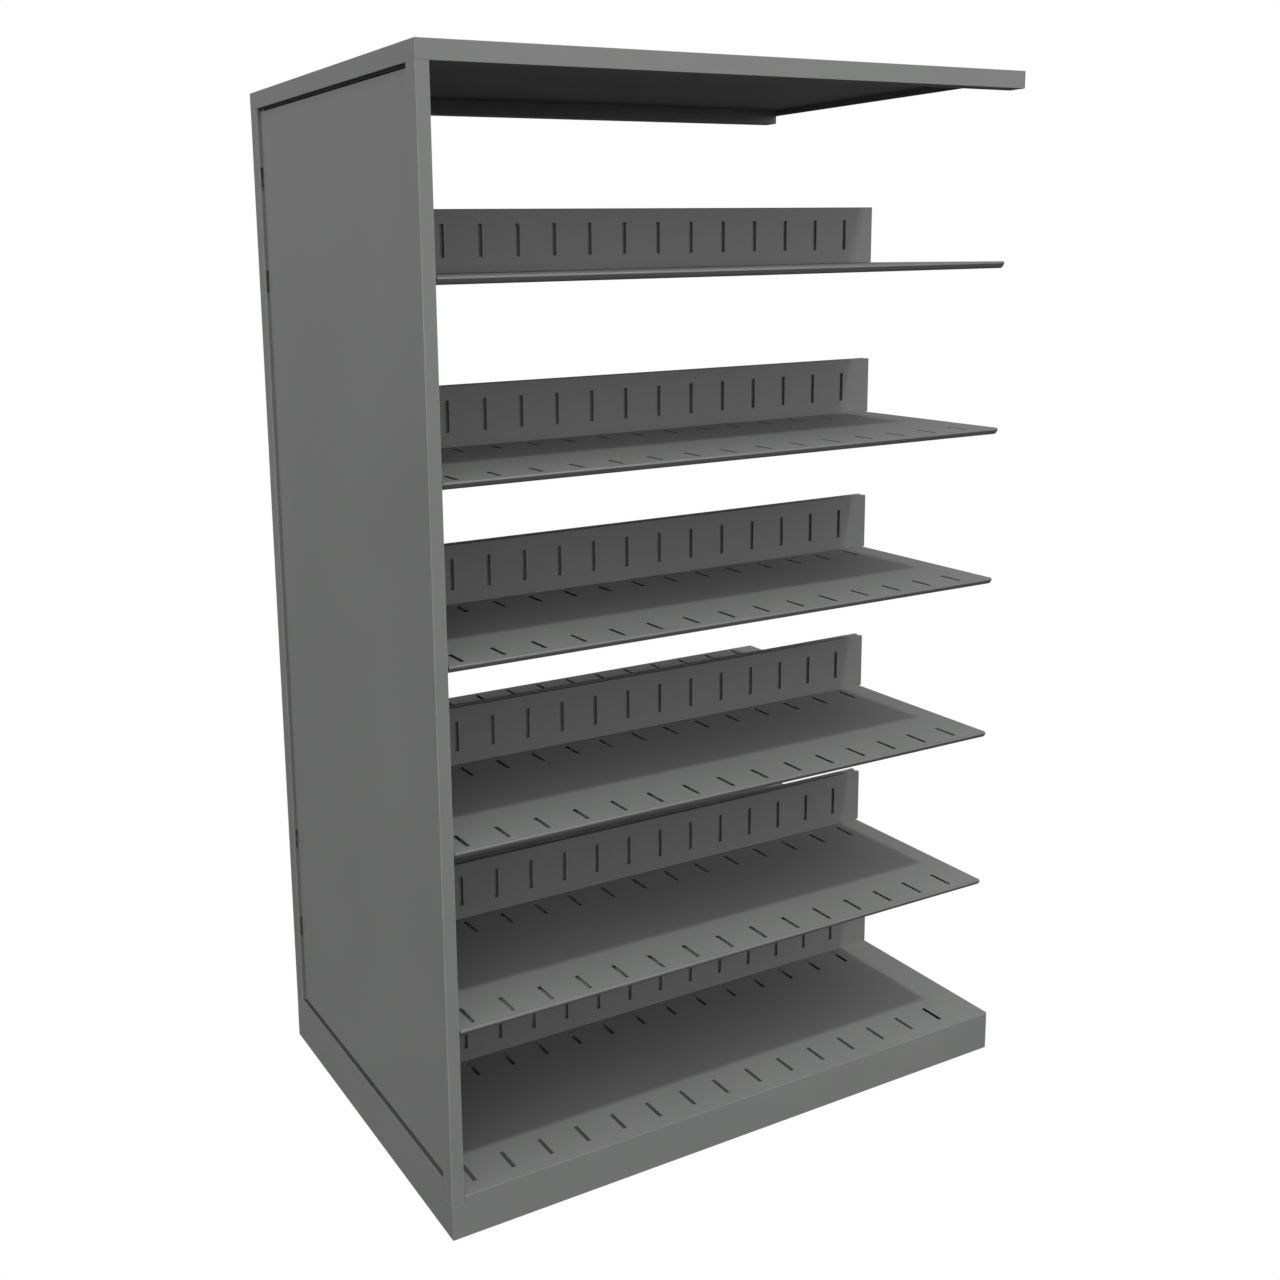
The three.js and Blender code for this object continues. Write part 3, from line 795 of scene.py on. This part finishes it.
@dataclass
class RingStack:
    """Thin rings stacked at an even pitch by Geometry Nodes.

    Attributes:
        start: Centre of the lowest ring, in metres.
        pitch: Distance between rings.
        count: Number of rings.
        radius: Radius of a ring.
        thickness: Radius of the ring's own section.
        ring_points: Points round a ring.
        section_points: Points round the ring's own section.
    """

    start: Point
    pitch: float
    count: int
    radius: float
    thickness: float
    ring_points: int = 14
    section_points: int = 4

    def build(self, name: str, material: bpy.types.Material) -> bpy.types.Object:
        """Makes the rings as one plain mesh.

        Args:
            name: Name of the piece.
            material: Its finish.

        Returns:
            The piece, at the origin, with its place in its mesh.
        """
        holder = put_object(name, bpy.data.meshes.new(name))
        modifier = holder.modifiers.new("rings", "NODES")
        tree = self._tree(material)
        modifier.node_group = tree
        sizes = {
            "Start": self.start,
            "Pitch": self.pitch,
            "Count": self.count,
            "Radius": self.radius,
            "Thickness": self.thickness,
        }
        for item in tree.interface.items_tree:
            if item.item_type == "SOCKET" and item.in_out == "INPUT" and item.name in sizes:
                modifier[item.identifier] = sizes[item.name]
        holder.update_tag()
        graph = bpy.context.evaluated_depsgraph_get()
        mesh = bpy.data.meshes.new_from_object(holder.evaluated_get(graph))
        holder.modifiers.clear()
        holder.data = mesh
        mesh.name = name
        return holder

    def _tree(self, material: bpy.types.Material) -> bpy.types.NodeTree:
        """Builds the node tree that repeats the ring.

        Args:
            material: Finish set on the realised rings.

        Returns:
            The geometry node tree.
        """
        tree = bpy.data.node_groups.new("ring_stack", "GeometryNodeTree")
        inputs = {
            "Geometry": "NodeSocketGeometry",
            "Start": "NodeSocketVector",
            "Pitch": "NodeSocketFloat",
            "Count": "NodeSocketInt",
            "Radius": "NodeSocketFloat",
            "Thickness": "NodeSocketFloat",
        }
        for name, kind in inputs.items():
            tree.interface.new_socket(name, in_out="INPUT", socket_type=kind)
        tree.interface.new_socket("Geometry", in_out="OUTPUT", socket_type="NodeSocketGeometry")
        nodes = NodeTree(tree)
        given = nodes.add("NodeGroupInput")
        output = nodes.add("NodeGroupOutput")
        step = nodes.add("ShaderNodeCombineXYZ")
        nodes.link(given.outputs["Pitch"], step.inputs["Z"])
        line = nodes.add("GeometryNodeMeshLine", mode="OFFSET")
        nodes.link(given.outputs["Count"], line.inputs["Count"])
        nodes.link(given.outputs["Start"], line.inputs["Start Location"])
        nodes.link(step.outputs["Vector"], line.inputs["Offset"])
        path = nodes.add("GeometryNodeCurvePrimitiveCircle")
        path.inputs["Resolution"].default_value = self.ring_points
        nodes.link(given.outputs["Radius"], path.inputs["Radius"])
        section = nodes.add("GeometryNodeCurvePrimitiveCircle")
        section.inputs["Resolution"].default_value = self.section_points
        nodes.link(given.outputs["Thickness"], section.inputs["Radius"])
        ring = nodes.add("GeometryNodeCurveToMesh")
        nodes.link(path.outputs["Curve"], ring.inputs["Curve"])
        nodes.link(section.outputs["Curve"], ring.inputs["Profile Curve"])
        copies = nodes.add("GeometryNodeInstanceOnPoints")
        nodes.link(line.outputs["Mesh"], copies.inputs["Points"])
        nodes.link(ring.outputs["Mesh"], copies.inputs["Instance"])
        real = nodes.add("GeometryNodeRealizeInstances")
        nodes.link(copies.outputs["Instances"], real.inputs["Geometry"])
        finish = nodes.add("GeometryNodeSetMaterial")
        finish.inputs["Material"].default_value = material
        nodes.link(real.outputs["Geometry"], finish.inputs["Geometry"])
        nodes.link(finish.outputs["Geometry"], output.inputs["Geometry"])
        return tree


@dataclass
class ShelfBank:
    """The adjustable shelves of one aisle, with their arms.

    Attributes:
        aisle: The side that the shelves face.
        levels: Number of adjustable shelves.
        deck_radius: Fold radius of decks and backstops, in metres.
        arm_radius: Fold radius of the arms, in metres.
    """

    aisle: Aisle
    levels: int = 5
    deck_radius: float = 0.0012
    arm_radius: float = 0.001

    def build(self, finishes: Finishes) -> list[bpy.types.Object]:
        """Makes and dresses the shelves.

        Args:
            finishes: Materials of the bay.

        Returns:
            The pieces.
        """
        pieces = []
        for level in range(1, self.levels + 1):
            body = f"{self.aisle.value}_shelf_{level}"
            deck = SlottedDeck(
                f"{body}_deck",
                body,
                fold_radius=self.deck_radius,
                rim=0.0,
                others=(finishes.bare_and_painted_light, finishes.painted_lip_shade),
            )
            pieces.append(deck.build(finishes.outside))
            backstop = FoldedSheet(f"{body}_backstop", body, fold_radius=self.deck_radius)
            pieces.append(backstop.build(finishes.backstop))
            arm = FoldedSheet(f"{body}_arm", "frame", "inner_powder_coat", self.arm_radius)
            pieces.append(arm.build(finishes.inside))
        return pieces


@dataclass
class Studio:
    """Pale floor, soft light from above and a key light from the upper right front.

    Attributes:
        key_place: Where the key light hangs, in metres.
        key_strength: Power of the key light, the same at every distance.
        key_radius: Radius of the key light, in metres.
        overhead: Strength of the soft light from straight above.
        horizon: Strength of the soft light from the bright side.
        bright_side: Direction towards the bright side of the studio.
        far_side_share: Share of the soft light that comes from the opposite side.
        ground: Strength of the light that comes back from below.
        shade: Brightness of the floor that the plinth covers.
        floor_reach: Half the width of the floor, in metres.
        floor_level: Height of the floor, just under the feet.
        shade_inset: How far the shaded floor stays inside the plinth.
        overhead_from: Height of a direction from which the light counts as overhead.
        side_range: Slopes between which the far side turns into the bright side.
    """

    key_place: Point = (0.97, -1.45, 3.35)
    key_strength: float = 17.5
    key_radius: float = 0.07
    overhead: float = 2.3
    horizon: float = 2.35
    bright_side: Point = (-0.6, -0.8, 0.0)
    far_side_share: float = 0.14
    ground: float = 0.1
    shade: float = 0.05
    floor_reach: float = 30.0
    floor_level: float = -0.0005
    shade_inset: float = 0.004
    overhead_from: float = 0.9
    side_range: tuple[float, float] = (-0.7, 0.5)

    def build(self) -> None:
        """Makes the floor, the key light and the surrounding light."""
        self._floor()
        self._key()
        self._surround()

    def _floor(self) -> None:
        """Lays a wide pale floor that reads as paper white, and dark where the plinth covers it."""
        low, high = (Vector(corner) for corner in CAD_BOX)
        reach, inset = self.floor_reach, self.shade_inset
        outer = [(-reach, -reach), (reach, -reach), (reach, reach), (-reach, reach)]
        near, far = (low.x + inset, low.y + inset), (high.x - inset, high.y - inset)
        inner = [near, (far[0], near[1]), far, (near[0], far[1])]
        mesh = bpy.data.meshes.new("studio_floor")
        ring = [(i, (i + 1) % 4, 4 + (i + 1) % 4, 4 + i) for i in range(4)]
        points = [(x, y, self.floor_level) for x, y in outer + inner]
        mesh.from_pydata(points, [], ring + [(4, 5, 6, 7)])
        mesh.materials.append(self._paper())
        mesh.materials.append(self._shade())
        mesh.polygons[4].material_index = 1
        floor = put_object("studio_floor", mesh)

    def _paper(self) -> bpy.types.Material:
        """Makes the paper of the floor, white to the camera and dull to the steel above it.

        Returns:
            The material.
        """
        material, nodes, output = begin_material("paper_white")
        seen = nodes.add("ShaderNodeLightPath")
        white = nodes.add("ShaderNodeEmission")
        white.inputs["Strength"].default_value = 1.0
        dull = nodes.add("ShaderNodeEmission")
        dull.inputs["Strength"].default_value = self.ground
        choice = nodes.add("ShaderNodeMixShader")
        nodes.link(seen.outputs["Is Camera Ray"], choice.inputs["Fac"])
        nodes.link(dull.outputs["Emission"], choice.inputs[1])
        nodes.link(white.outputs["Emission"], choice.inputs[2])
        nodes.link(choice.outputs["Shader"], output.inputs["Surface"])
        return material

    def _shade(self) -> bpy.types.Material:
        """Makes the floor that the plinth keeps in the dark.

        Returns:
            The material.
        """
        material, nodes, output = begin_material("shaded_floor")
        shader = nodes.add("ShaderNodeEmission")
        shader.inputs["Strength"].default_value = self.shade
        nodes.link(shader.outputs["Emission"], output.inputs["Surface"])
        return material

    def _key(self) -> None:
        """Hangs the key light."""
        light = bpy.data.lights.new("key", "POINT")
        light.energy = self.key_strength
        light.shadow_soft_size = self.key_radius
        light.use_nodes = True
        nodes = NodeTree(light.node_tree)
        output = nodes.add("ShaderNodeOutputLight")
        glow = nodes.add("ShaderNodeEmission")
        even = nodes.add("ShaderNodeLightFalloff")
        even.inputs["Strength"].default_value = 1.0
        nodes.link(even.outputs["Constant"], glow.inputs["Strength"])
        nodes.link(glow.outputs["Emission"], output.inputs["Surface"])
        put_object("key", light).location = self.key_place

    def _surround(self) -> None:
        """Surrounds the scene with white to the camera and soft light, strongest from the bright side."""
        world = bpy.data.worlds.new("studio")
        bpy.context.scene.world = world
        world.use_nodes = True
        nodes = NodeTree(world.node_tree)
        output = nodes.add("ShaderNodeOutputWorld")
        place = nodes.add("ShaderNodeTexCoord")
        split = nodes.add("ShaderNodeSeparateXYZ")
        nodes.link(place.outputs["Generated"], split.inputs["Vector"])
        height = nodes.add("ShaderNodeMapRange")
        height.inputs["From Max"].default_value = self.overhead_from
        height.inputs["To Min"].default_value = self.horizon
        height.inputs["To Max"].default_value = self.overhead
        nodes.link(split.outputs["Z"], height.inputs["Value"])
        facing = nodes.add("ShaderNodeVectorMath", operation="DOT_PRODUCT")
        facing.inputs[1].default_value = self.bright_side
        nodes.link(place.outputs["Generated"], facing.inputs[0])
        side = nodes.add("ShaderNodeMapRange", interpolation_type="SMOOTHSTEP")
        side.inputs["From Min"].default_value, side.inputs["From Max"].default_value = self.side_range
        side.inputs["To Min"].default_value = self.far_side_share
        nodes.link(facing.outputs["Value"], side.inputs["Value"])
        level = nodes.add("ShaderNodeMath", operation="MULTIPLY")
        nodes.link(height.outputs["Result"], level.inputs[0])
        nodes.link(side.outputs["Result"], level.inputs[1])
        soft = nodes.add("ShaderNodeBackground")
        nodes.link(level.outputs["Value"], soft.inputs["Strength"])
        white = nodes.add("ShaderNodeBackground")
        white.inputs["Color"].default_value = (1.0, 1.0, 1.0, 1.0)
        seen = nodes.add("ShaderNodeLightPath")
        choice = nodes.add("ShaderNodeMixShader")
        nodes.link(seen.outputs["Is Camera Ray"], choice.inputs["Fac"])
        nodes.link(soft.outputs["Background"], choice.inputs[1])
        nodes.link(white.outputs["Background"], choice.inputs[2])
        nodes.link(choice.outputs["Shader"], output.inputs["Surface"])


@dataclass
class PhotoCamera:
    """Camera that stands where the photograph was taken.

    Attributes:
        eye: Place of the lens, in metres.
        azimuth: Turn about the vertical, in degrees, from looking along +Y.
        elevation: Height of the view above level, in degrees.
        roll: Turn about the line of sight, in degrees.
        focal_px: Focal length in pixels of the square picture.
        centre_px: Pixel on the optical axis.
        picture_px: Width and height of the picture.
        sensor_mm: Width of the film.
        sight: Farthest distance that is drawn, in metres.
    """

    eye: Point = (-1.55115, -2.45239, 1.67793)
    azimuth: float = -27.9078
    elevation: float = 10.642
    roll: float = 1.1868
    focal_px: float = 1453.6
    centre_px: tuple[float, float] = (522.9, 529.0)
    picture_px: float = 1280.0
    sensor_mm: float = 36.0
    sight: float = 200.0

    def build(self) -> bpy.types.Object:
        """Makes the camera and hands it to the scene.

        Returns:
            The camera object.
        """
        data = bpy.data.cameras.new("photo_camera")
        data.sensor_width = self.sensor_mm
        data.sensor_fit = "HORIZONTAL"
        data.lens = self.focal_px / self.picture_px * self.sensor_mm
        data.shift_x = (self.picture_px / 2 - self.centre_px[0]) / self.picture_px
        data.shift_y = (self.centre_px[1] - self.picture_px / 2) / self.picture_px
        data.clip_end = self.sight
        camera = put_object("photo_camera", data)
        camera.matrix_world = self._placement()
        bpy.context.scene.camera = camera
        return camera

    def _placement(self) -> Matrix:
        """Works out where the camera stands and how it is turned.

        Returns:
            The camera's world matrix.
        """
        turn, lift, tilt = (math.radians(a) for a in (self.azimuth, self.elevation, self.roll))
        level = math.cos(lift)
        back = Vector((math.sin(turn) * level, -math.cos(turn) * level, math.sin(lift)))
        right = (-back).cross(Vector((0.0, 0.0, 1.0))).normalized()
        down = (-back).cross(right)
        across = math.cos(tilt) * right + math.sin(tilt) * down
        upward = math.sin(tilt) * right - math.cos(tilt) * down
        matrix = Matrix((across, upward, back)).transposed().to_4x4()
        matrix.translation = Vector(self.eye)
        return matrix


@dataclass
class Bay:
    """The whole double sided bay.

    Attributes:
        parts: Sub-assemblies in building order.
    """

    parts: list[EndFrame | Canopy | Plinth | ShelfBank] = field(
        default_factory=lambda: [
            EndFrame(),
            Canopy(),
            Plinth(),
            ShelfBank(Aisle.FRONT),
            ShelfBank(Aisle.REAR),
        ]
    )

    def build(self) -> int:
        """Builds every sub-assembly.

        Returns:
            The number of pieces made.
        """
        coats = {
            "outside": PowderCoat("grey_powder_coat", (0.15, 0.155, 0.15)),
            # Painted shade: darker copy of the outside coat for the backstops.
            "backstop": PowderCoat("backstop_painted_shade_coat", (0.129, 0.133, 0.129)),
            "inside": PowderCoat("inner_powder_coat", (0.12, 0.124, 0.12), roughness=0.58),
            # Painted shade: near-black coat for the return fold in the groove below the end panel.
            "groove_shade": PowderCoat("painted_groove_shade", (0.05, 0.051, 0.05), roughness=0.8, edge_wear_and_highlight=0.0),
            # Painted light: bare galvanised sheet made pale to lighten the shaded hollows behind the
            # slots of decks and posts.
            "bare_and_painted_light": PowderCoat(
                "bare_galvanised_painted_light", (0.78, 0.79, 0.78), roughness=0.6, cloud=0.08, edge_wear_and_highlight=0.0
            ),
            # Painted shade: darker copy of the powder coat for the front edge and lip of a shelf.
            "painted_lip_shade": PowderCoat("painted_lip_shade_coat", (0.105, 0.108, 0.105), roughness=0.46, edge_wear_and_highlight=0.04),
            "zinc": ZincPlate("zinc_plate"),
        }
        finishes = Finishes(**{use: coat.material() for use, coat in coats.items()})
        return sum(len(part.build(finishes)) for part in self.parts)


def main() -> None:
    """Builds the bay, the studio and the camera."""
    logging.basicConfig(level=logging.INFO, format="%(name)s %(message)s")
    LOG.info("made %d pieces", Bay().build())
    Studio().build()
    PhotoCamera().build()
    bpy.context.scene.view_settings.view_transform = "Standard"


if __name__ == "__main__":
    main()
